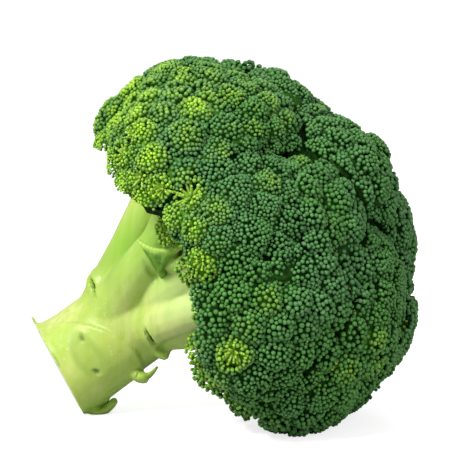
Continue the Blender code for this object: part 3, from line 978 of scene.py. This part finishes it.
for _, spot, normal, wide in open_clusters:
    spot = spot + normal * swell_at(spot)
    knot = spot - normal * 5.5 * MM
    side = normal.orthogonal().normalized()
    for k in range(15):
        turn = Matrix.Rotation(k * 2.39996 + chance.uniform(-0.2, 0.2), 3, normal)
        ring = math.sqrt((k + 0.7) / 15) * chance.uniform(0.85, 1.1)
        end = spot + turn @ side * ring * wide + normal * (0.2 - 1.4 * ring**2) * MM
        line = curve(knot, knot.lerp(end, 0.7) + normal * 0.8 * MM, end, 4)
        tubes.append(taper(line, [0.9 * MM, 0.75 * MM, 0.6 * MM, 0.5 * MM, 0.4 * MM], 6))
        if k % 5 != 1:
            ripe = chance.uniform(0.05, 0.4)
            way = (end - knot).normalized()
            all_buds.append((np.array(end), way, BUD_RADIUS * chance.uniform(0.55, 0.8), ripe))
new_piece("spray_buds", bud_mesh(all_buds, chance), bud_material)
new_piece("spray_stemlets", gather(tubes), stemlet_material)

# ---------------------------------------------------------------------------------------------
# The bract leaf. A small leaf in the fork of two branches, grown out of the stem: a dark, thin
# blade that stands on its narrow base and ends in a thick, pale, rolled upper edge. The blade's
# dark green is partly painted shade on its underside, which faces the front, and the pale edge is
# partly painted light on its upper side.

leaf_base = Vector((-24.0, -25.5, 60.0)) * MM
leaf_edge = [
    Vector(c) * MM for c in ((-32, -28, 72.5), (-25, -35, 67), (-17, -36, 69), (-12, -34, 73))
]
steps = 16
edge_line = [
    sum((leaf_edge[k] * math.comb(3, k) * t**k * (1 - t) ** (3 - k) for k in range(4)), Vector())
    for t in (i / steps for i in range(steps + 1))
]
stem_tree = BVHTree.FromPolygons(
    [v.co for v in skin.vertices], [list(f.vertices) for f in skin.polygons]
)
facing = Vector((-0.2, -1.0, 0.1)).normalized()
shape = bmesh.new()
sheets = []
for depth in (0.0, 1.3 * MM):
    rows = []
    for j in range(9):
        share = j / 8
        row = []
        for i, edge_point in enumerate(edge_line):
            bulge = facing * math.sin(math.pi * share) * (1.6 + 0.5 * math.cos(i * 1.3)) * MM
            start = leaf_base.lerp(edge_point, 0.12)
            spot = start.lerp(edge_point, share**0.85) + bulge
            near, normal, _, _ = stem_tree.find_nearest(spot)
            clear = (0.8 + 2.6 * share) * MM - (spot - near).dot(normal)
            row.append(shape.verts.new(spot + normal * max(0.0, clear) - facing * depth))
        rows.append(row)
    for below, above in zip(rows, rows[1:]):
        for i in range(steps):
            shape.faces.new((below[i], below[i + 1], above[i + 1], above[i]))
    rim = rows[0] + [row[-1] for row in rows[1:]] + rows[-1][-2::-1]
    sheets.append(rim + [row[0] for row in rows[-2:0:-1]])
front, back = sheets
for k in range(len(front)):
    n = (k + 1) % len(front)
    shape.faces.new((front[k], back[k], back[n], front[n]))
bmesh.ops.recalc_face_normals(shape, faces=shape.faces[:])
edge_line = [v.co + facing * 0.7 * MM for v in rows[8]]
widths = [(0.6 + 0.6 * math.sin(math.pi * i / steps)) * MM for i in range(steps + 1)]
rolled = taper(edge_line, widths, 9)
stalklet_line = [leaf_base + Vector((2, 8, -3)) * MM, rows[0][8].co.copy(), rows[3][8].co.copy()]
stalklet = taper(stalklet_line, [2.0 * MM, 1.5 * MM, 0.9 * MM], 9)
leaf_mesh = fused(gather([shape, rolled, stalklet]), 0.4 * MM, 3, "bract_leaf_skin")
edge = []
for v in leaf_mesh.vertices:
    edge.append(1.0 - min(1.0, min((v.co - point).length for point in edge_line) / (2.2 * MM)))
leaf_mesh.attributes.new("edge", "FLOAT", "POINT").data.foreach_set("value", edge)
leaf = Paint("leaf_blade", Roughness=0.42, Specular_IOR_Level=0.35)
where = leaf.place()
veins = leaf.noise(where, 420.0, 4.0, 0.6)
# Painted shade and light: the dark blade stands partly for the shade on its underside, the pale
# edge partly for light on its upper side.
blade = leaf.mix(leaf.span(veins, 0.35, 0.65), (0.06, 0.20, 0.006), (0.16, 0.36, 0.02))
blade = leaf.mix(leaf.span(leaf.attribute("edge"), 0.15, 0.75), blade, (0.46, 0.66, 0.11))
leaf_material = leaf.finish(Base_Color=blade, Normal=leaf.bump(veins, 0.5, 0.0005))
leaf_piece = new_piece("bract_leaf_blade", leaf_mesh, leaf_material)
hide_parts("bract_leaf")

# ---------------------------------------------------------------------------------------------
# A white floor and soft studio light from the upper left. The floor and the surroundings look
# whiter than the light that they give, and the floor is so wide that no horizon shows. The camera
# stands a metre in front of the head and looks a little down at it.

floor_shape = bmesh.new()
bmesh.ops.create_circle(floor_shape, cap_ends=True, segments=96, radius=30.0)
floor_mesh = bpy.data.meshes.new("floor")
floor_shape.to_mesh(floor_mesh)
floor_shape.free()
floor_piece = bpy.data.objects.new("floor", floor_mesh)
bpy.context.scene.collection.objects.link(floor_piece)
white = Paint("floor_white", Roughness=0.9, Specular_IOR_Level=0.0, Emission_Strength=1.0)
seen = white.node("ShaderNodeLightPath", {}, {})["Is Camera Ray"]
glow = white.mix(seen, (0.0, 0.0, 0.0), (0.75, 0.75, 0.75))
floor_mesh.materials.append(white.finish(Base_Color=(0.55, 0.55, 0.55), Emission_Color=glow))
floor_piece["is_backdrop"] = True

world = bpy.data.worlds.new("studio")
bpy.context.scene.world = world
world.use_nodes = True
sky = world.node_tree
rays = sky.nodes.new("ShaderNodeLightPath")
brightness = sky.nodes.new("ShaderNodeMapRange")
brightness.inputs["To Min"].default_value = 0.60
brightness.inputs["To Max"].default_value = 1.0
sky.links.new(rays.outputs["Is Camera Ray"], brightness.inputs["Value"])
sky.links.new(brightness.outputs["Result"], sky.nodes["Background"].inputs["Strength"])
sky.nodes["Background"].inputs["Color"].default_value = (1.0, 1.0, 1.0, 1.0)


def softbox(name, spot, size, power):
    """A square lamp that faces the head."""
    lamp = bpy.data.lights.new(name, "AREA")
    lamp.size = size
    lamp.energy = power
    made = bpy.data.objects.new(name, lamp)
    bpy.context.scene.collection.objects.link(made)
    made.location = spot
    made.rotation_euler = (Vector((0, 0, 0.06)) - Vector(spot)).to_track_quat("-Z", "Y").to_euler()


softbox("key", (-0.52, -0.60, 0.78), 0.30, 13.0)
softbox("fill", (0.7, -0.7, 0.4), 0.6, 2.5)
softbox("back", (0.1, 0.9, 0.8), 0.6, 4.0)

camera = bpy.data.objects.new("camera", bpy.data.cameras.new("camera"))
bpy.context.scene.collection.objects.link(camera)
bpy.context.scene.camera = camera
ELEVATION = math.radians(8.0)
DISTANCE = 1.0
target = Vector((0.004, 0.0, 0.071))
sight = Vector((0.0, -math.cos(ELEVATION), math.sin(ELEVATION)))
camera.location = target + sight * DISTANCE
camera.rotation_euler = (-sight).to_track_quat("-Z", "Y").to_euler()
camera.data.lens = 36.0 * DISTANCE / 0.1796
camera.data.clip_start = 0.01
bpy.context.scene.view_settings.view_transform = "Standard"

low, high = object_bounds()
